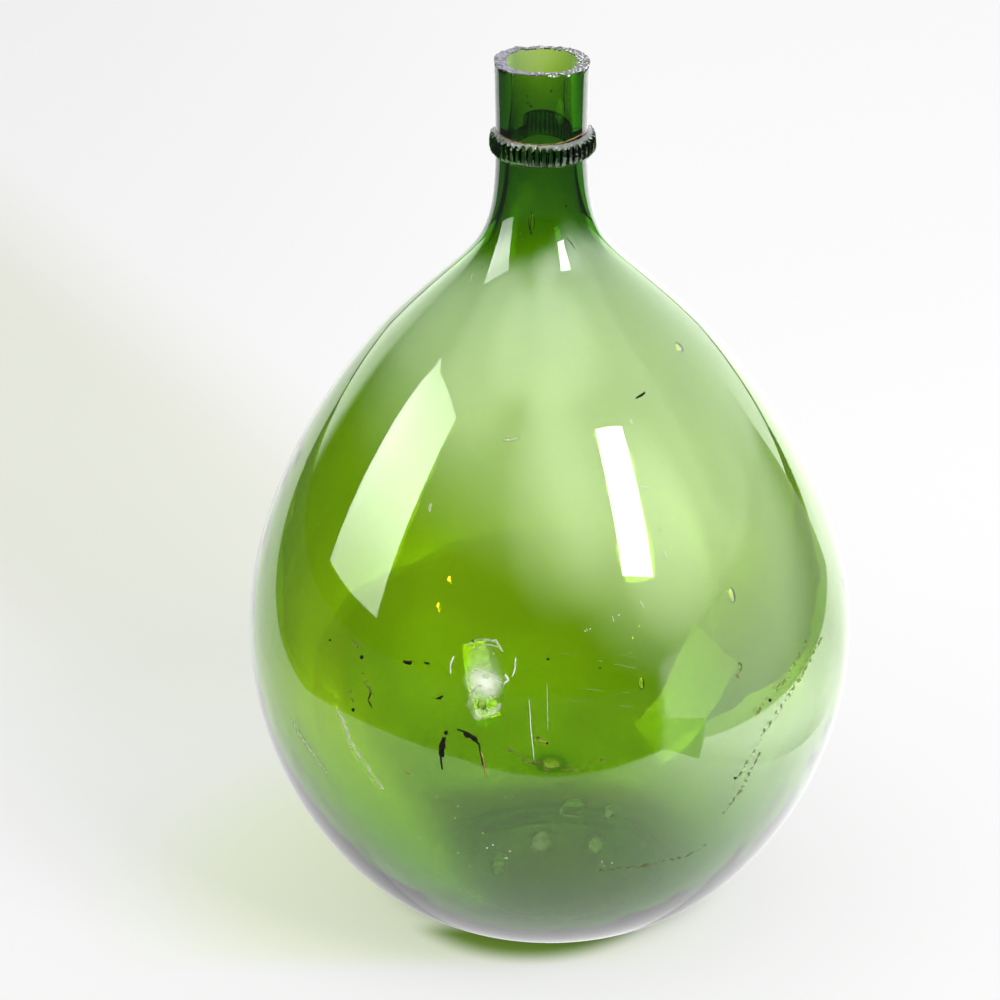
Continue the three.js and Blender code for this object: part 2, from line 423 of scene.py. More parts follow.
class Shader:
    """The nodes of one material or of the world, with short calls to add and join them."""

    def __init__(self, owner):
        owner.use_nodes = True
        self.tree = owner.node_tree
        self.tree.nodes.clear()

    def add(self, kind, inputs=None, **settings):
        """A new node. Each input is set to a plain value, or joined to an output of another node."""
        node = self.tree.nodes.new(kind)
        for name, value in settings.items():
            setattr(node, name, value)
        for name, value in (inputs or {}).items():
            if isinstance(value, (int, float, tuple)):
                node.inputs[name].default_value = value
            else:
                self.tree.links.new(value, node.inputs[name])
        return node

    def math(self, operation, *values):
        return self.add("ShaderNodeMath", dict(enumerate(values)), operation=operation).outputs[0]

    def plus(self, first, second):
        return self.math("ADD", first, second)

    def minus(self, first, second):
        return self.math("SUBTRACT", first, second)

    def times(self, first, second):
        return self.math("MULTIPLY", first, second)

    def line(self, value, slope, start):
        """A straight line, which is at `start` where the value is 0."""
        return self.math("MULTIPLY_ADD", value, slope, start)

    def ramp(self, value, low, high, start=0.0, end=1.0):
        """From `start` to `end` as the value goes from `low` to `high`, with soft ends."""
        inputs = {"Value": value, "From Min": low, "From Max": high, "To Min": start, "To Max": end}
        return self.add("ShaderNodeMapRange", inputs, interpolation_type="SMOOTHSTEP").outputs[0]

    def split(self, vector):
        """The x, y and z of a vector."""
        return tuple(self.add("ShaderNodeSeparateXYZ", {0: vector}).outputs)

    def attribute(self, name):
        return self.add("ShaderNodeAttribute", attribute_name=name).outputs["Fac"]

    def position(self):
        return self.split(self.add("ShaderNodeNewGeometry").outputs["Position"])

    def blended(self, factor, first, second):
        """A colour between two others."""
        return self.add("ShaderNodeMix", {0: factor, 6: first, 7: second}, data_type="RGBA").outputs[2]

    def mixed(self, factor, first, second):
        """A surface or light between two others."""
        return self.add("ShaderNodeMixShader", {0: factor, 1: first, 2: second}).outputs[0]


# A pair is a ramp's two ends, or a line's slope and start
WHITE = (1, 1, 1, 1)
GLASS_IOR = 1.52
GLASS_DENSITY = 870
BAND_DENSITY = 2600
GLASS_COLOUR = (0.738, 0.848, 0.0115, 1)
LAMP_TINT = (1, 0.97, 1, 1)
BREAK_GREYS = ((0.06, 0.057, 0.08, 1), (0.19, 0.18, 0.24, 1))
BREAK_DARK = (0.012, 0.02, 0.012, 1)
BREAK_GLINT_WHITE = (0.8, 0.8, 0.76, 1)
BREAK_GRAIN = 560
BREAK_LUMP = BREAK_GRAIN / 2.3
BREAK_SPLINTER = 400
BREAK_SPLINTERED_FROM = (-0.022, 0.004)
BREAK_CRACKS = (0.06, 0.24)
BREAK_CRACK_DEPTH = -0.6
BREAK_BACK = (0.008, 0.024)
BREAK_BACK_DARK = 0.6
BREAK_BLOTS = (0.47, 0.56)
BREAK_BLOT_SHARE = (0.9, 0.3)
BREAK_GREY_FROM = (0.3, 0.7)
BREAK_DARKEST = 0.85
# Painted glints on the break: white flecks, more of them on the splintered right
BREAK_GLINTS = (0.55, 0.61)
BREAK_GLINT_SHARE = (0.85, 0.12)
BREAK_ROUGHNESS = 0.5
BREAK_SHINE = 0.3
BREAK_BUMP = 0.7
BREAK_BUMP_HEIGHT = 0.4 * MM
BREAK_EDGE = (0.4, 0.6)
# The whitish film inside the top of the bore
BORE_PALE_COLOUR = (0.9, 0.92, 0.9, 1)
BORE_PALE_ROUGHNESS = 0.9


def broken_glass(shader):
    """The dull grey break round the mouth: smoother on the left, splintered on the right, with painted white
    glints.
    """
    place = shader.add("ShaderNodeTexCoord").outputs["Object"]
    x, y, _ = shader.split(place)
    grain = shader.add("ShaderNodeTexNoise", {"Vector": place, "Scale": BREAK_GRAIN, "Detail": 5}).outputs[0]
    lump = shader.add("ShaderNodeTexNoise", {"Vector": place, "Scale": BREAK_LUMP}).outputs[0]
    splinter = shader.add("ShaderNodeTexVoronoi", {"Vector": place, "Scale": BREAK_SPLINTER},
                          feature="DISTANCE_TO_EDGE").outputs["Distance"]
    right = shader.ramp(x, *BREAK_SPLINTERED_FROM)
    crack = shader.times(shader.ramp(splinter, *BREAK_CRACKS, 1.0, 0.0), right)
    back = shader.ramp(y, *BREAK_BACK, 0.0, BREAK_BACK_DARK)
    blot = shader.times(shader.ramp(lump, *BREAK_BLOTS), shader.line(right, *BREAK_BLOT_SHARE))
    dark = shader.math("MAXIMUM", shader.math("MAXIMUM", crack, back), blot)
    grey = shader.blended(shader.ramp(grain, *BREAK_GREY_FROM), *BREAK_GREYS)
    darkened = shader.blended(shader.times(dark, BREAK_DARKEST), grey, BREAK_DARK)
    # Painted glints: white flecks, more of them on the splintered right
    chips = shader.times(shader.ramp(grain, *BREAK_GLINTS), shader.line(right, *BREAK_GLINT_SHARE))
    height = shader.plus(grain, shader.times(crack, BREAK_CRACK_DEPTH))
    bump = shader.add("ShaderNodeBump", {"Strength": BREAK_BUMP, "Distance": BREAK_BUMP_HEIGHT,
                                         "Height": height})
    return shader.add("ShaderNodeBsdfPrincipled", {
        "Base Color": shader.blended(chips, darkened, BREAK_GLINT_WHITE), "Roughness": BREAK_ROUGHNESS,
        "Specular IOR Level": BREAK_SHINE, "Normal": bump.outputs[0]}).outputs[0]


def glass_material(name, density, with_break=False):
    material = bpy.data.materials.new(name)
    shader = Shader(material)
    skin = shader.add("ShaderNodeBsdfPrincipled", {
        "Base Color": WHITE, "Roughness": 0.0, "IOR": GLASS_IOR, "Transmission Weight": 1}).outputs[0]
    if with_break:
        # A whitish film makes the bore paler near the mouth
        pale_film = shader.add("ShaderNodeBsdfPrincipled", {
            "Base Color": BORE_PALE_COLOUR, "Roughness": BORE_PALE_ROUGHNESS})
        paled_skin = shader.mixed(shader.times(shader.attribute("bore_paled"), BORE_PALE_COVER), skin, pale_film.outputs[0])
        broken = shader.ramp(shader.attribute("broken"), *BREAK_EDGE)
        skin = shader.mixed(broken, paled_skin, broken_glass(shader))
    clear = shader.add("ShaderNodeBsdfTransparent", {"Color": LAMP_TINT}).outputs[0]
    path = shader.add("ShaderNodeLightPath").outputs
    lit = shader.mixed(path["Is Diffuse Ray"], skin, clear)
    absorb = shader.add("ShaderNodeVolumeAbsorption", {"Density": density, "Color": GLASS_COLOUR})
    shader.add("ShaderNodeOutputMaterial", {
        "Surface": shader.mixed(path["Is Shadow Ray"], lit, clear), "Volume": absorb.outputs[0]})
    return material


# Marks on the glass, with painted highlights and glints among them, at places of the photograph in its pixels

FILM_LIFT = 0.04 * MM
FILM_THICKNESS = 0.05 * MM
FILM_SHINE = 0.1
PATCHES = (0.35, 0.62)
FADE = (0.1, 0.85)
# The marks that fade from their middle are the painted highlight and its painted glow
FADED_MARKS = ("bruise", "haze")
ROUTE_STEP = 2.0
PIXEL_METRES = 0.62 * MM
TAPER_START = 0.06
TAPER_RUN = 0.88
STROKE_FULLNESS = 0.35
STROKE_UNEVEN = 0.5
STROKE_UNEVEN_RATE = 0.37
STROKE_WANDER = 0.8
STROKE_WANDER_RATE = 0.21
SPOT_SPOKES = 14
SPOT_CROWN = 0.6
SPOT_RAGGED = 0.45
SPOT_LOBE = 0.8
STEP_PAST = 0.01 * MM
LEAST_SLANT = 0.35


def ring(centre, reach, count, rate, start=0.0):
    """Places along a flat ring, which stays open where it ends."""
    return [(centre[0] + reach[0] * math.cos(turn / rate),
             centre[1] + reach[1] * math.sin(turn / rate + start)) for turn in range(count)]


# A stroke has a width in millimetres and its places. A spot has its place and how far it reaches in pixels.
RESIDUE_STROKES = (
    (2.6, ((447.5, 731), (445.5, 735))),
    (4.6, ((444, 737), (442, 747), (441.5, 757))),
    (1.5, ((441, 753), (441, 761), (442, 770))),
    (1.6, ((457, 729), (463, 731), (470, 735))),
    (3.8, ((464, 732), (471, 736), (477, 741))),
    (1.4, ((474, 739), (479, 744), (480, 752))),
    (1.0, ((480, 752), (482, 760), (483, 766))),
    (1.4, ((371, 692), (368, 700), (372, 708))),
    (2.4, ((403, 661), (412, 662))),
    (1.3, ((424, 662), (430, 664))),
    (0.6, ((564.6, 80), (563.6, 98), (564.6, 114))),
    (0.7, ((566, 238), (571, 243), (575, 249))),
    (1.6, ((636, 398), (641, 395), (645, 392))),
    (0.5, ((532, 212), (530.5, 222), (531, 233))),
    (1.6, ((436, 699), (443, 696))),
)
RESIDUE_SPOTS = (
    (362, 657, 2.0), (440, 698, 1.6), (353, 710, 1.8), (548, 659, 1.4), (566, 206, 1.2), (531, 233, 1.2),
    (527, 96, 1.0), (528, 103, 0.9), (531, 106, 1.2), (551, 91, 0.9), (538, 738, 1.5), (547, 743, 1.3),
    (473, 641, 1.2), (600, 668, 1.0), (330, 640, 1.2), (770, 700, 1.6), (735, 778, 1.4),
)
DEPOSIT_STROKES = (
    (3.2, ((822, 637), (806, 668), (790, 693), (775, 716), (763, 733), (745, 766), (731, 790))),
    (3.0, ((709, 843), (686, 856), (655, 864), (626, 868), (597, 870))),
    (3.5, ((806, 640), (800, 655), (786, 680), (776, 690))),
    (3.0, ((760, 752), (741, 790), (722, 815))),
    (4.0, ((740, 662), (738, 678))),
    (3.5, ((764, 700), (756, 716))),
    (4.0, ((525, 756), (545, 768), (575, 770), (607, 758))),
    (3.0, ((508, 748), (530, 762), (556, 763))),
    (3.0, ((352, 640), (361, 650))),
    (3.0, ((362, 672), (369, 688), (373, 694))),
    (2.5, ((350, 690), (354, 702))),
)
TAN_STROKES = (
    (0.9, ((495.6, 129.5), (500, 134.5), (508, 139.2), (518, 142.6), (530, 144.4), (541, 144.9), (553, 144.2),
           (565, 141.8), (575, 138.2), (583, 133.4), (588.3, 127.6))),
    (1.4, ((536, 736), (541, 741), (547, 742))),
    (1.2, ((481, 752), (484, 764), (486, 776))),
    (1.0, ((403, 770), (412, 776))),
)
# Painted highlight: a pale film for a bright reflection on the lower belly, a painted glow round a paler core
PAINTED_HIGHLIGHT_GLOW = ((484, 676, 26.0, 1.7),)
PAINTED_HIGHLIGHT = ((484, 683, 27.0, 0.85),)
# Pale smears. The first two strokes and the ring are the painted edge of the painted highlight
SMEAR_AND_HIGHLIGHT_STROKES = (
    (1.8, ((466, 645), (478, 640), (496, 641), (503, 652))),
    (1.1, ((469, 652), (486, 644), (499, 647))),
    (5.0, ((290, 717), (303, 740), (327, 773))),
    (5.0, ((337, 707), (352, 745), (383, 790))),
    (2.2, ((431, 503), (430, 512))),
    (2.4, ((503, 440), (520, 438))),
    (6.5, ring((485, 703), (13, 13), 18, 3)),
)
# Scratches, and painted glints: the short strokes round the painted highlight and beside the strip lamp's
# reflection
SCRATCHES_AND_GLINTS = (
    (0.55, ((529, 699), (531, 730), (534, 760))),
    (1.4, ((454, 656), (450.5, 665), (450.5, 674))),
    (1.0, ((516, 657), (515, 668), (512, 677))),
    (2.0, ((505, 674), (508, 680), (504, 684))),
    (0.4, ((472, 671), (487, 676), (503, 683))),
    (0.4, ((474, 668), (489, 673), (502, 679))),
    (0.25, ((547, 684), (547.5, 706), (548, 730))),
    (0.4, ((586, 628), (588, 632))),
    (0.4, ((612, 616), (614, 622))),
    (0.8, ((659, 527), (661, 533))),
    (0.9, ((664, 551), (667, 557))),
    (0.6, ((630, 418), (632, 424))),
    (0.4, ((640, 486), (655, 489))),
    (0.5, ((640, 600), (644, 608))),
    (0.5, ((473, 272), (470, 282))),
)
WIPES = (
    (0.7, ((560, 652), (600, 661), (640, 669), (700, 676))),
    (0.6, ((588, 648), (628, 656), (690, 668))),
    (0.7, ((560, 699), (610, 704), (668, 712))),
    (0.6, ((575, 688), (640, 694), (680, 702))),
)
DISCS = ((540, 842, 10.5), (595, 845, 8.0), (498, 868, 8.0), (608, 814, 5.0))
DISC_STROKES = (
    (1.3, ring((573, 810), (13, -6), 24, 4, 0.3)),
)
SPECKS = (
    (437, 797, 0.5), (458, 806, 0.6), (505, 797, 0.5), (513, 796, 0.5), (483, 833, 0.7), (455, 818, 0.5),
    (487, 848, 0.8), (493, 845, 1.0), (510, 851, 0.7), (507, 858, 0.8), (458, 853, 0.5), (505, 858, 0.6),
    (561, 859, 0.5), (602, 862, 0.5), (612, 863, 0.6), (643, 845, 0.5), (590, 846, 0.5), (604, 866, 0.5),
    (470, 866, 0.5), (540, 880, 0.4), (620, 845, 0.4), (419, 838, 0.5), (590, 629, 0.8), (619, 615, 0.8),
    (585, 631, 0.6),
)

# Each mark has a name, strokes, spots, a colour, the least and most cover, a patch size and a roughness
MARKS = (
    ("residue", RESIDUE_STROKES, RESIDUE_SPOTS, (0.006, 0.004, 0.003, 1), (0.9, 1.0), 2 * MM, 0.8),
    ("tan_residue", TAN_STROKES, (), (0.42, 0.26, 0.1, 1), (0.4, 0.95), 3 * MM, 0.8),
    # A painted highlight and its painted glow, standing in for a bright reflection
    ("bruise", (), PAINTED_HIGHLIGHT, (0.88, 0.96, 0.76, 1), (0.4, 0.95), 14 * MM, 0.3),
    ("haze", (), PAINTED_HIGHLIGHT_GLOW, (0.55, 0.78, 0.4, 1), (0.3, 0.5), 14 * MM, 0.3),
    ("deposits", DEPOSIT_STROKES, (), (0.22, 0.17, 0.07, 1), (-0.5, 0.4), 3 * MM, 0.8),
    # Pale smears, and the painted edge of the highlight
    ("smears", SMEAR_AND_HIGHLIGHT_STROKES, (), (0.75, 0.8, 0.62, 1), (0.05, 0.35), 6 * MM, 0.5),
    # Scratches and specks, with painted glints
    ("scratches", SCRATCHES_AND_GLINTS, SPECKS, (0.9, 0.92, 0.85, 1), (0.35, 0.9), 3 * MM, 0.5),
    ("wipes", WIPES, (), (0.75, 0.82, 0.6, 1), (-0.08, 0.07), 8 * MM, 0.5),
    ("base_discs", DISC_STROKES, DISCS, (0.26, 0.42, 0.16, 1), (0.15, 0.38), 5 * MM, 0.7),
)

# Air bubbles, at places of the photograph, with their width and height in its pixels
SEEDS = ((678, 348, 11, 12), (731, 595, 9, 16), (641, 683, 6, 14), (532, 222, 6, 19), (482, 704, 9, 12))
BASE_SEEDS = ((573, 809, 24, 11), (540, 842, 24, 22), (595, 845, 20, 14), (498, 868, 18, 14),
              (610, 814, 8, 5))
SEED_THICKNESS = 1.8 * MM


def sight(x, y):
    """The direction of the camera's line of sight through a place in the photograph."""
    across = (x - FRAME_PIXELS / 2) / FOCAL_PIXELS
    rise = (FRAME_PIXELS / 2 - y) / FOCAL_PIXELS
    forward = Vector(CAMERA_AIM)
    upward = Vector((0, math.sin(CAMERA_PITCH), math.cos(CAMERA_PITCH)))
    return (forward + upward * rise + Vector((across, 0, 0))).normalized()


class Skins:
    """The vessel's skins, for finding where a line of sight meets them."""

    def __init__(self, thing):
        mesh = thing.data
        corners = [vertex.co.copy() for vertex in mesh.vertices]
        self.tree = BVHTree.FromPolygons(corners, [tuple(face.vertices) for face in mesh.polygons])

    def met(self, x, y, count):
        """The first places where the line of sight meets a skin, each with the skin's normal."""
        start, aim, found = Vector(CAMERA_PLACE), sight(x, y), []
        while len(found) < count:
            place, normal, _, _ = self.tree.ray_cast(start, aim)
            if place is None:
                break
            found.append((place, normal))
            start = place + aim * STEP_PAST
        return found


class Film:
    """Thin closed films on the outer skin, gathered into one object."""

    def __init__(self, skins):
        self.skins = skins
        self.vertices, self.faces = [], []

    def stroke(self, width, places):
        """A ragged stroke along places of the photograph, `width` millimetres wide."""
        route = []
        for (x0, y0), (x1, y1) in zip(places[:-1], places[1:]):
            count = max(int(math.hypot(x1 - x0, y1 - y0) / ROUTE_STEP), 1)
            route += [(x0 + (x1 - x0) * i / count, y0 + (y1 - y0) * i / count) for i in range(count)]
        route.append(places[-1])
        met = [self.skins.met(x, y, 1)[0] for x, y in route]
        first, last = len(self.vertices), len(met) - 1
        for i, (place, normal) in enumerate(met):
            ahead = met[min(i + 1, last)][0] - met[max(i - 1, 0)][0]
            across = ahead.cross(normal).normalized()
            swell = math.sin(math.pi * (TAPER_START + TAPER_RUN * i / last)) ** STROKE_FULLNESS
            wider = STROKE_UNEVEN * bumps((i * STROKE_UNEVEN_RATE, width, 0), 1, places[0][0])
            half = width * MM / 2 * swell * (1 + wider)
            aside = bumps((i * STROKE_WANDER_RATE, 0, width), 1, places[0][1])
            middle = place + across * half * STROKE_WANDER * aside
            for offset, lift in ((-half, 0), (0, FILM_THICKNESS), (half, 0), (0, -FILM_LIFT / 2)):
                self.vertices.append(middle + across * offset + normal * (FILM_LIFT + lift))
        for i in range(last):
            for k in range(4):
                a, b = first + 4 * i + k, first + 4 * i + (k + 1) % 4
                self.faces.append((a, b, b + 4, a + 4))
        self.faces.append(tuple(first + k for k in (3, 2, 1, 0)))
        self.faces.append(tuple(first + 4 * last + k for k in range(4)))

    def spot(self, x, y, size, tall=1.0):
        """A ragged spot that reaches `size` pixels to its sides, and `tall` times as far up and down."""
        first = len(self.vertices)
        for share, lift in ((SPOT_CROWN, FILM_THICKNESS), (1.0, 0)):
            for k in range(SPOT_SPOKES):
                angle = 2 * math.pi * k / SPOT_SPOKES
                across, down = math.cos(angle), math.sin(angle)
                reach = size * share * (1 + SPOT_RAGGED * bumps((across, down, x), SPOT_LOBE, y))
                place, normal = self.skins.met(x + reach * across, y + reach * tall * down, 1)[0]
                self.vertices.append(place + normal * (FILM_LIFT + lift))
        place, normal = self.skins.met(x, y, 1)[0]
        self.vertices += [place + normal * (FILM_LIFT + FILM_THICKNESS), place + normal * FILM_LIFT / 2]
        top, bottom = first + 2 * SPOT_SPOKES, first + 2 * SPOT_SPOKES + 1
        for k in range(SPOT_SPOKES):
            a, b = first + k, first + (k + 1) % SPOT_SPOKES
            c, d = a + SPOT_SPOKES, b + SPOT_SPOKES
            self.faces += [(top, b, a), (a, b, d, c), (bottom, c, d)]

    def made(self, name, material):
        thing = new_object(name, self.vertices, self.faces)
        merge_poles(thing)
        thing.data.materials.append(material)
        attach(thing, "root")


def film_material(name, colour, cover, size, roughness, fade):
    """A film that hides the glass by a share between the two values of `cover`, in patches."""
    material = bpy.data.materials.new(name)
    shader = Shader(material)
    place = shader.add("ShaderNodeTexCoord").outputs["Object"]
    patches = shader.add("ShaderNodeTexNoise", {"Vector": place, "Scale": 1 / size, "Detail": 4})
    share = shader.ramp(patches.outputs[0], *PATCHES, *cover)
    if fade:
        middle, reach, tall = fade
        offset = shader.add("ShaderNodeVectorMath", {0: place, 1: tuple(middle)}, operation="SUBTRACT")
        x, _, z = shader.split(offset.outputs[0])
        aside = shader.math("DIVIDE", x, reach)
        above = shader.math("DIVIDE", z, reach * tall)
        far = shader.math("SQRT", shader.plus(shader.times(aside, aside), shader.times(above, above)))
        share = shader.times(share, shader.ramp(far, *FADE, 1.0, 0.0))
    film = shader.add("ShaderNodeBsdfPrincipled", {
        "Base Color": colour, "Roughness": roughness, "Specular IOR Level": FILM_SHINE})
    clear = shader.add("ShaderNodeBsdfTransparent")
    shader.add("ShaderNodeOutputMaterial", {
        "Surface": shader.mixed(share, clear.outputs[0], film.outputs[0])})
    return material


def make_marks(skins):
    for name, strokes, spots, *look in MARKS:
        film = Film(skins)
        for stroke in strokes:
            film.stroke(*stroke)
        for spot in spots:
            film.spot(*spot)
        fade = None
        if name in FADED_MARKS:
            x, y, reach, tall = spots[0]
            fade = (skins.met(x, y, 1)[0][0], reach * PIXEL_METRES, tall)
        film.made(name, film_material(name, *look, fade))


def add_seeds(thing, skins):
    """Flat air bubbles inside the wall, as closed skins that face inwards, in the vessel's own mesh."""
    work = bmesh.new()
    work.from_mesh(thing.data)
    pixel = 1 / FOCAL_PIXELS
    for passed, seeds in ((0, SEEDS), (2, BASE_SEEDS)):
        for x, y, width, height in seeds:
            near, far = skins.met(x, y, passed + 2)[passed:]
            middle = (near[0] + far[0]) / 2
            normal = far[1] if passed else near[1]
            reach = (middle - Vector(CAMERA_PLACE)).length * pixel
            slant = max(abs(sight(x, y).dot(normal)), LEAST_SLANT)
            along = Vector((0, 1, 0)) if passed else Vector((0, 0, 1))
            side = along.cross(normal).normalized()
            rise = normal.cross(side)
            rise_reach = height / 2 * reach / (slant if passed else 1)
            axes = (side * width / 2 * reach, rise * rise_reach, normal * SEED_THICKNESS / 2)
            matrix = Matrix([[*(axis[i] for axis in axes), middle[i]] for i in range(3)] + [[0, 0, 0, 1]])
            ball = bmesh.ops.create_icosphere(work, subdivisions=3, radius=1, matrix=matrix)["verts"]
            shell = {face for vertex in ball for face in vertex.link_faces}
            for face in shell:
                face.smooth = True
            first = next(iter(shell))
            first.normal_update()
            if first.normal.dot(first.calc_center_median() - middle) > 0:
                bmesh.ops.reverse_faces(work, faces=list(shell))
    work.to_mesh(thing.data)
    work.free()


# Studio. A pair is a place on the floor, a ramp's two ends or strengths, or a line's slope and start.

FLOOR_SIZE = 12
FLOOR_COLOUR = (0.9, 0.9, 0.9, 1)
PAPER_CENTRE = (0.103, 2.0)
PAPER_HALF = (0.719, 2.48)
PAPER_CORNER = 0.4
PAPER_WIDENS = 0.75
PAPER_EDGE = 0.012
SHEET_ACROSS = (-0.1, 1.0)
SHEET_GLOW = (1.35, 2.92)
HOT_SPOT = (0.67, -0.26)
HOT_SPOT_REACH = 0.63
HOT_SPOT_GLOW = 7.2
# Painted shadow of the vessel on the sheet that the glass mirrors
MIRRORED_SHADOW = (-0.05, 0.03)
MIRRORED_SHADOW_REACH = 0.17
MIRRORED_SHADOW_GLOW = 0.05
TABLE_GLOW = 0.15
UNLIMITED = 20.0
FLOOR_GLOW = 0.6
SHADOW_TOWARDS = (-0.504, 0.864)
SHADOW_HALF = (0.08, 0.26)
SHADOW_START = (0.05, 0.6)
SHADOW_WHITE = (0.8, 0.83, 0.68, 1)
NEAR_CENTRE = (-0.09, -0.01)
NEAR_REACH = (0.09, 0.24)
NEAR_WHITE = (0.94, 1.0, 0.76, 1)
NEAR_FRONT = (-0.13, -0.1)
CAUSTIC_BAND = (-0.09, -0.03)
CAUSTIC_END = (0.2, 0.5)
CAUSTIC_SIDE = (-0.1, -0.01)
CAUSTIC_COLOUR = (2.2, 1.6, 0.8, 1)
BRIGHTER_RIGHT = 0.1
BRIGHTER_ACROSS = (-0.5, 0.1)
BRIGHTER_BEHIND = (-0.1, 0.7)
CONTACT_CENTRE = (0.0, 0.02)
CONTACT_REACH = (0.085, 0.125)
GREEN_SHADE = (-0.013, -0.028)
GREEN_SHADE_REACH = (0.068, 0.092)
GREEN_SHADE_FRONT = (-0.08, -0.06)
GREEN_SHADE_COLOUR = (0.19, 0.32, 0.05, 1)
HIDDEN_EDGE = (0.1125, 0.418, -0.346)
GRAZED_RIGHT = (12.0, 0.88)
GRAZED_LEFT = (5.0, 0.74)
GRAZED_FROM = (-0.12, -0.08)
WHITE_FRONT = (-1.2, -0.4)
WHITE_SIDES = (1.0, 1.8)
CARD_X = 0.345
CARD_REACH = (-0.53, 0.17)
CARD_HEIGHT = 0.39
CARD_STEPS = 60
CARD_SLOPE = 0.2
CARD_EDGE = 0.04
CARD_NEAR_EDGE = 0.08
CARD_LINE = (0.3, 0.156)
CARD_LINE_EDGE = (-0.004, 0.004)
CARD_LOW_ACROSS = (-0.2, 0.1)
CARD_LOW_GLOW = (6.9, 2.6)
CARD_LOW_RISE = (-0.02, 0.07)
CARD_LOW_DIM = 0.6
CARD_HIGH_SLANT = (-0.9, 0.18)
CARD_HIGH_ACROSS = (-0.16, 0.03)
CARD_HIGH_GLOW = (3.5, 0.9)
CARD_GAP_ACROSS = (-0.325, -0.305)
CARD_GAP_RISE = (0.115, 0.13)
CARD_GAP_GLOW = 1.8
CARD_END_SLANT = -0.18
CARD_SHARP_END = (0.092, 0.1)
CARD_SOFT_END = (0.0, 0.15)


def background(shader, strength):
    return shader.add("ShaderNodeBackground", {"Color": WHITE, "Strength": strength}).outputs[0]


def once_mirrored(shader, path):
    """1 for what the glass mirrors, 0 for what is seen directly."""
    return shader.math("GREATER_THAN", path["Glossy Depth"], 0.5)


def rounded_reach(shader, x, y):
    """How far a place lies past the corner centres of the rounded sheet of paper."""
    wider = shader.line(shader.math("MAXIMUM", y, 0), PAPER_WIDENS, 1)
    across = shader.math("DIVIDE", shader.minus(x, PAPER_CENTRE[0]), wider)
    along = shader.minus(y, PAPER_CENTRE[1])
    over = []
    for offset, half in zip((across, along), PAPER_HALF):
        past = shader.minus(shader.math("ABSOLUTE", offset), half - PAPER_CORNER)
        over.append(shader.math("POWER", shader.math("MAXIMUM", past, 0), 2))
    return shader.math("SQRT", shader.plus(*over))


def distance_from(shader, x, y, centre):
    squares = [shader.math("POWER", shader.minus(value, middle), 2) for value, middle in zip((x, y), centre)]
    return shader.math("SQRT", shader.plus(*squares))


def past_edge(shader, x, y):
    """How far a place on the floor lies outside the part that the vessel hides from the camera."""
    slope = shader.line(y, HIDDEN_EDGE[2], HIDDEN_EDGE[1])
    return shader.minus(shader.math("ABSOLUTE", x), shader.line(slope, y, HIDDEN_EDGE[0]))


def floor_shade(shader, x, y):
    """The green shadow right in front of the foot."""
    near = shader.ramp(distance_from(shader, x, y, GREEN_SHADE), *GREEN_SHADE_REACH, 1.0, 0.0)
    return shader.times(near, shader.ramp(y, *GREEN_SHADE_FRONT, 1.0, 0.0))


def floor_white(shader, x, y):
    """The sheet's white, with the yellowish shade of the light that came through the glass."""
    off = shader.minus(shader.times(x, SHADOW_TOWARDS[1]), shader.times(y, SHADOW_TOWARDS[0]))
    beside = shader.ramp(shader.math("ABSOLUTE", off), *SHADOW_HALF, 1.0, 0.0)
    cast = shader.times(beside, shader.ramp(y, *SHADOW_START))
    close = shader.ramp(distance_from(shader, x, y, NEAR_CENTRE), *NEAR_REACH, 1.0, 0.0)
    near = shader.times(close, shader.ramp(y, *NEAR_FRONT))
    return shader.blended(near, shader.blended(cast, WHITE, SHADOW_WHITE), NEAR_WHITE)


def floor_mirrored(shader, x, y, past):
    """What the glass mirrors: the sheet with a painted shadow of the vessel on it, its edge and the dark
    table past it, dimmed at its outline.
    """
    on_paper = shader.ramp(rounded_reach(shader, x, y), PAPER_CORNER - PAPER_EDGE,
                           PAPER_CORNER + PAPER_EDGE, 1.0, 0.0)
    # Painted shadow of the vessel on the mirrored sheet, darkest close to its foot
    dimmed = shader.ramp(distance_from(shader, x, y, MIRRORED_SHADOW), 0.0, MIRRORED_SHADOW_REACH, MIRRORED_SHADOW_GLOW, 1.0)
    sheet = shader.times(shader.ramp(x, *SHEET_ACROSS, *SHEET_GLOW), dimmed)
    spot = shader.ramp(distance_from(shader, x, y, HOT_SPOT), 0.0, HOT_SPOT_REACH, HOT_SPOT_GLOW, 0.0)
    sheet_light = shader.times(on_paper, shader.plus(sheet, spot))
    table_light = shader.times(shader.minus(1, on_paper), TABLE_GLOW)
    on_right = shader.math("GREATER_THAN", x, 0.0)
    slope = shader.line(on_right, GRAZED_RIGHT[0] - GRAZED_LEFT[0], GRAZED_LEFT[0])
    least = shader.line(on_right, GRAZED_RIGHT[1] - GRAZED_LEFT[1], GRAZED_LEFT[1])
    grazed = shader.line(shader.math("MAXIMUM", past, 0), slope, least)
    limit = shader.plus(grazed, shader.ramp(y, *GRAZED_FROM, UNLIMITED, 0.0))
    strength = shader.math("MINIMUM", shader.plus(sheet_light, table_light), limit)
    return shader.add("ShaderNodeEmission", {"Strength": strength}).outputs[0]


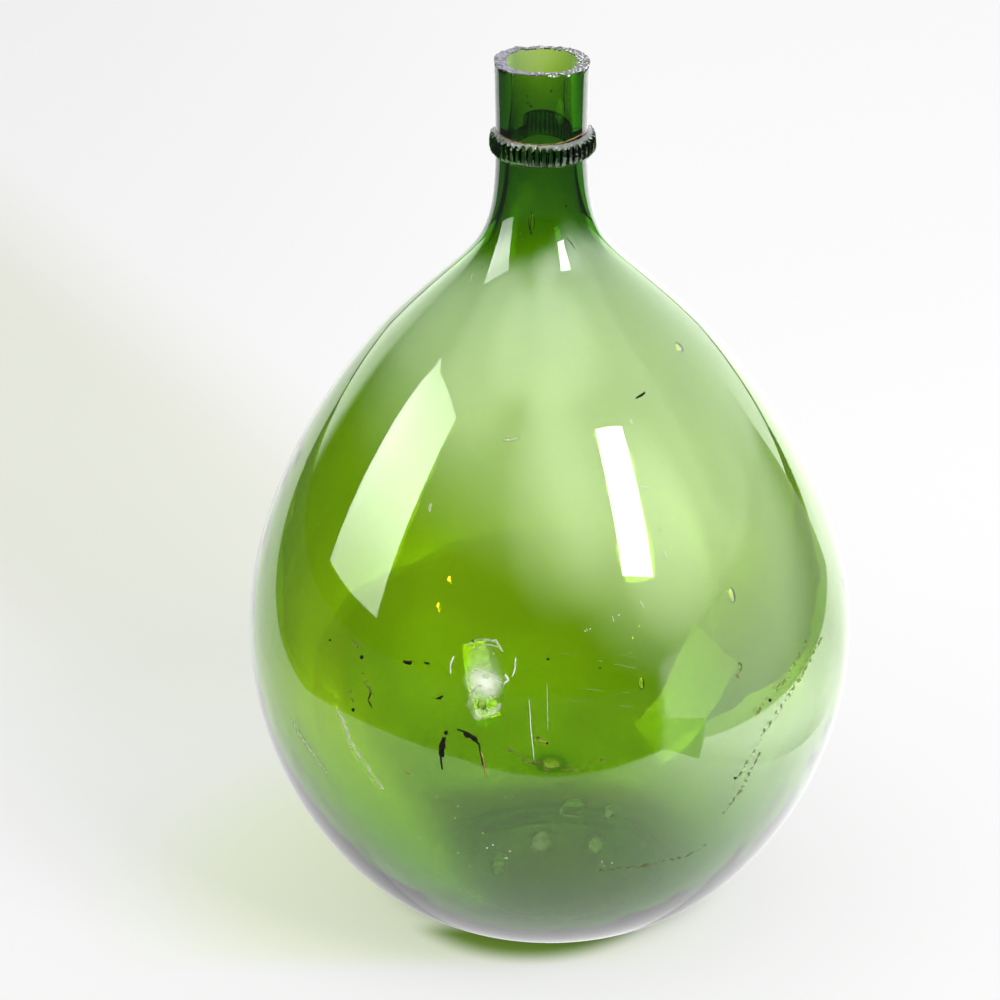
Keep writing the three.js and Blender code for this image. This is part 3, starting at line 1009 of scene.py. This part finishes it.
def make_floor():
    """A white sheet. Its edge and the dark table past it show only where the glass mirrors them."""
    half = FLOOR_SIZE / 2
    corners = [(-half, -half, 0), (half, -half, 0), (half, half, 0), (-half, half, 0)]
    floor = new_object("studio_floor", corners, [(0, 1, 2, 3)])
    material = bpy.data.materials.new("studio_floor")
    floor.data.materials.append(material)
    shader = Shader(material)
    x, y, _ = shader.position()
    path = shader.add("ShaderNodeLightPath").outputs
    past = past_edge(shader, x, y)
    beside = shader.times(shader.ramp(past, *CAUSTIC_BAND), shader.ramp(y, *CAUSTIC_END, 1.0, 0.0))
    through = shader.times(shader.ramp(x, *CAUSTIC_SIDE, 1.0, 0.0), path["Is Transmission Ray"])
    caustic = shader.times(beside, through)
    shade = floor_shade(shader, x, y)
    white = shader.blended(shade, floor_white(shader, x, y), GREEN_SHADE_COLOUR)
    brighter = shader.times(shader.ramp(x, *BRIGHTER_ACROSS, 0.0, BRIGHTER_RIGHT),
                            shader.ramp(y, *BRIGHTER_BEHIND))
    sides = shader.ramp(shader.math("ABSOLUTE", x), *WHITE_SIDES, 1.0, 0.0)
    on_set = shader.times(shader.ramp(y, *WHITE_FRONT), sides)
    glow = shader.add("ShaderNodeEmission", {
        "Color": shader.blended(caustic, white, CAUSTIC_COLOUR),
        "Strength": shader.times(shader.plus(brighter, BACKDROP), on_set)})
    plain = shader.add("ShaderNodeBsdfDiffuse", {
        "Color": shader.blended(shade, FLOOR_COLOUR, GREEN_SHADE_COLOUR)})
    contact = distance_from(shader, x, y, CONTACT_CENTRE)
    open_air = shader.math("MAXIMUM", shader.ramp(contact, *CONTACT_REACH, 0.0, FLOOR_GLOW), caustic)
    glowing = shader.times(shader.minus(1, path["Is Diffuse Ray"]), open_air)
    seen = shader.mixed(glowing, plain.outputs[0], glow.outputs[0])
    shader.add("ShaderNodeOutputMaterial", {
        "Surface": shader.mixed(once_mirrored(shader, path), seen, floor_mirrored(shader, x, y, past))})
    material.cycles.emission_sampling = "NONE"


def card_cover(place):
    """1 on the card, and softly down to 0 at its near end and at its slanting top."""
    near = CARD_REACH[0]
    top = CARD_HEIGHT + CARD_SLOPE * min(place[1], 0)
    return smooth(place[1], near, near + CARD_NEAR_EDGE) * (1 - smooth(place[2], top - CARD_EDGE, top))


def card_strength(shader, y, z, above, below):
    """The light of the card's two parts, over and under its slanting line, dim in its near low corner."""
    across = shader.line(z, CARD_HIGH_SLANT[0], shader.plus(y, CARD_HIGH_SLANT[1]))
    upper = shader.ramp(across, *CARD_HIGH_ACROSS, *CARD_HIGH_GLOW)
    lower = shader.times(shader.ramp(y, *CARD_LOW_ACROSS, *CARD_LOW_GLOW),
                         shader.ramp(z, *CARD_LOW_RISE, CARD_LOW_DIM, 1.0))
    gap = shader.times(shader.ramp(y, *CARD_GAP_ACROSS, 1.0, 0.0), shader.ramp(z, *CARD_GAP_RISE, 1.0, 0.0))
    plain = shader.plus(shader.times(upper, above), shader.times(lower, below))
    return shader.math("MINIMUM", plain, shader.line(gap, CARD_GAP_GLOW - UNLIMITED, UNLIMITED))


def make_card():
    """A white card on the right, past the picture's edge, which shows only where the glass mirrors it."""
    low, high = CARD_REACH
    shares = [i / CARD_STEPS for i in range(CARD_STEPS + 1)]
    places = [(CARD_X, low + (high - low) * u, CARD_HEIGHT * v) for v in shares for u in shares]
    row = len(shares)
    faces = [(a, a + 1, a + row + 1, a + row)
             for v in range(CARD_STEPS) for a in range(v * row, v * row + CARD_STEPS)]
    card = new_object("studio_card", places, faces)
    cover = card.data.attributes.new("cover", "FLOAT", "POINT").data
    cover.foreach_set("value", [card_cover(place) for place in places])
    material = bpy.data.materials.new("studio_card")
    card.data.materials.append(material)
    shader = Shader(material)
    _, y, z = shader.position()
    over_line = shader.minus(shader.minus(z, CARD_LINE[1]), shader.times(y, CARD_LINE[0]))
    above = shader.ramp(over_line, *CARD_LINE_EDGE)
    below = shader.minus(1, above)
    light = shader.add("ShaderNodeEmission", {"Strength": card_strength(shader, y, z, above, below)})
    clear = shader.add("ShaderNodeBsdfTransparent")
    sharp = shader.ramp(shader.line(z, CARD_END_SLANT, y), *CARD_SHARP_END, 1.0, 0.0)
    soft = shader.ramp(y, *CARD_SOFT_END, 1.0, 0.0)
    far_end = shader.plus(shader.times(sharp, above), shader.times(soft, below))
    share = shader.times(shader.attribute("cover"), far_end)
    shader.add("ShaderNodeOutputMaterial", {
        "Surface": shader.mixed(share, clear.outputs[0], light.outputs[0])})
    material.cycles.emission_sampling = "NONE"
    card.visible_camera = False
    card.visible_diffuse = False
    card.visible_transmission = False
    card.visible_shadow = False


SKY_FRONT = (2.498, -1.21, 2.91)
SKY_FRONT_START = 2.312
SKY_FRONT_LIGHT = 2.14
SKY_TOP = (0.391, 0.506, 2.008)
SKY_TOP_START = 0.206
SKY_TOP_LIGHT = 3.98
SKY_DARK = 0.05
ZENITH_FROM = (0.8, 0.92)
ZENITH_LIGHT = 2.3
SKY_PATCHES = (
    ((0.066, -0.752, 0.656), (0.9, 0.99), 1.6),
    ((0.736, -0.515, 0.438), (0.915, 0.99), 2.2),
    ((-0.5, -0.15, 0.853), (0.88, 0.99), 1.8),
)
BEHIND_TILT = (0.019, 1.0, 0.0)
BEHIND_EDGE = (0.636, 0.756)
BEHIND_GLOW = (1.73, 3.2)
GRAZED_GLOW = (3.8, 0.95)
OVERHEAD_FROM = (1.05, 1.25)
OVERHEAD_MORE = 4.0
WHITE_FROM = (0.1, 0.5)
WHITE_DARK = 0.25
AMBIENT = 0.62
BACKDROP = 0.97


def towards(shader, direction, aim):
    node = shader.add("ShaderNodeVectorMath", {0: direction, 1: aim}, operation="DOT_PRODUCT")
    return node.outputs["Value"]


def overhead_light(shader, direction, up):
    """The wide soft light from the front and the top, with a few brighter patches."""
    front = shader.ramp(towards(shader, direction, SKY_FRONT), SKY_FRONT_START, SKY_FRONT_START + 1,
                        SKY_DARK, SKY_DARK + SKY_FRONT_LIGHT)
    top = shader.ramp(towards(shader, direction, SKY_TOP), SKY_TOP_START, SKY_TOP_START + 1,
                      0.0, SKY_TOP_LIGHT)
    light = shader.plus(shader.plus(front, top), shader.ramp(up, *ZENITH_FROM, 0.0, ZENITH_LIGHT))
    for aim, reach, glow in SKY_PATCHES:
        light = shader.plus(light, shader.ramp(towards(shader, direction, aim), *reach, 0.0, glow))
    return light


def make_world():
    """A white backdrop, an even light on the floor, and the wide soft overhead light in reflections."""
    world = bpy.data.worlds.new("studio")
    scene.world = world
    shader = Shader(world)
    direction = shader.add("ShaderNodeTexCoord").outputs["Generated"]
    x, y, z = shader.split(direction)
    behind = shader.times(shader.ramp(towards(shader, direction, BEHIND_TILT), *BEHIND_EDGE),
                          shader.line(x, *BEHIND_GLOW))
    apart = shader.minus(1, towards(shader, direction, CAMERA_AIM))
    away = shader.math("SQRT", shader.math("MAXIMUM", apart, 0))
    limit = shader.plus(shader.line(away, *GRAZED_GLOW),
                        shader.ramp(away, *OVERHEAD_FROM, 0.0, OVERHEAD_MORE))
    brighter = shader.math("MAXIMUM", overhead_light(shader, direction, z), behind)
    studio = background(shader, shader.math("MINIMUM", brighter, limit))
    path = shader.add("ShaderNodeLightPath").outputs
    white = background(shader, shader.ramp(y, *WHITE_FROM, WHITE_DARK, BACKDROP))
    lit = shader.mixed(path["Is Diffuse Ray"], white, background(shader, AMBIENT))
    shader.add("ShaderNodeOutputWorld", {"Surface": shader.mixed(once_mirrored(shader, path), lit, studio)})


# Lamps, each with a place, an aim, a width, a height, a radiance and a roll in degrees
SOFTBOX = ((-1.1, -0.182, 0.793), (0.933, 0.22, -0.286), 0.638, 0.92, 1)
SOFTBOX_MIDDLE = 0.55
SOFTBOX_FADE = 0.55
SOFTBOX_GLOW = (12.5, 5.5)
STRIP_LAMP = ((0.651, -0.787, 0.978), (-0.53, 0.5, -0.68), 0.27, 0.6, 23, -17)
KEY_LAMP = ((1.9, -1.8, 2.5), (-0.53, 0.5, -0.7), 1.5, 1.5, 12)
WARM_BULBS = (
    ((-0.967, -1.041, 0.612), (0.690, 0.677, -0.254)),
    ((-0.895, -1.041, 0.759), (0.640, 0.682, -0.355)),
)
WARM_SIZE = 0.024
WARM_RADIANCE = 60
WARM_COLOUR = (1.0, 0.44, 0.03)


def area_lamp(name, place, aim, width, height, radiance, roll=0.0):
    data = bpy.data.lights.new(name, "AREA")
    data.shape = "RECTANGLE"
    data.size = width
    data.size_y = height
    data.energy = radiance * math.pi * width * height
    lamp = bpy.data.objects.new(name, data)
    lamp.location = place
    turn = (-Vector(aim)).to_track_quat("Z", "Y") @ Quaternion((0, 0, 1), math.radians(roll))
    lamp.rotation_euler = turn.to_euler()
    lamp.visible_camera = False
    scene.collection.objects.link(lamp)
    return lamp


def soften_ends(lamp):
    """The softbox is brightest in its middle and falls off towards its top and bottom."""
    shader = Shader(lamp.data)
    rise = shader.split(shader.add("ShaderNodeNewGeometry").outputs["Parametric"])[1]
    from_middle = shader.math("ABSOLUTE", shader.minus(rise, SOFTBOX_MIDDLE))
    light = shader.add("ShaderNodeEmission", {
        "Strength": shader.ramp(from_middle, 0.0, SOFTBOX_FADE, *SOFTBOX_GLOW)})
    shader.add("ShaderNodeOutputLight", {"Surface": light.outputs[0]})


def make_lamps():
    """Lamps that the glass mirrors, and a key lamp that lights the floor and is never seen."""
    softbox = area_lamp("softbox_left", *SOFTBOX)
    soften_ends(softbox)
    mirrored = [softbox, area_lamp("lamp_right", *STRIP_LAMP)]
    for number, (place, aim) in enumerate(WARM_BULBS):
        lamp = area_lamp(f"warm_bulb_{number}", place, aim, WARM_SIZE, WARM_SIZE, WARM_RADIANCE)
        lamp.data.color = WARM_COLOUR
        mirrored.append(lamp)
    for lamp in mirrored:
        lamp.visible_diffuse = False
    key = area_lamp("key", *KEY_LAMP)
    key.visible_glossy = False
    key.visible_transmission = False


make_camera()
make_floor()
make_card()
make_world()
make_lamps()

vessel = make_vessel()
skins = Skins(vessel)
add_seeds(vessel, skins)
vessel.data.materials.append(glass_material("vessel_glass", GLASS_DENSITY, with_break=True))
vessel.data.set_sharp_from_angle(angle=SHARP_ANGLE)
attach(vessel, "root")
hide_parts("glass_vessel")
make_marks(skins)

band = make_band()
band.data.materials.append(glass_material("band_glass", BAND_DENSITY))
band.data.set_sharp_from_angle(angle=SHARP_ANGLE)
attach(band, "root")
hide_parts("neck_band")

scene.view_settings.view_transform = "Standard"
scene.cycles.max_bounces = 24
scene.cycles.transmission_bounces = 24
scene.cycles.glossy_bounces = 8
scene.cycles.transparent_max_bounces = 16
scene.cycles.caustics_reflective = False
scene.cycles.caustics_refractive = False
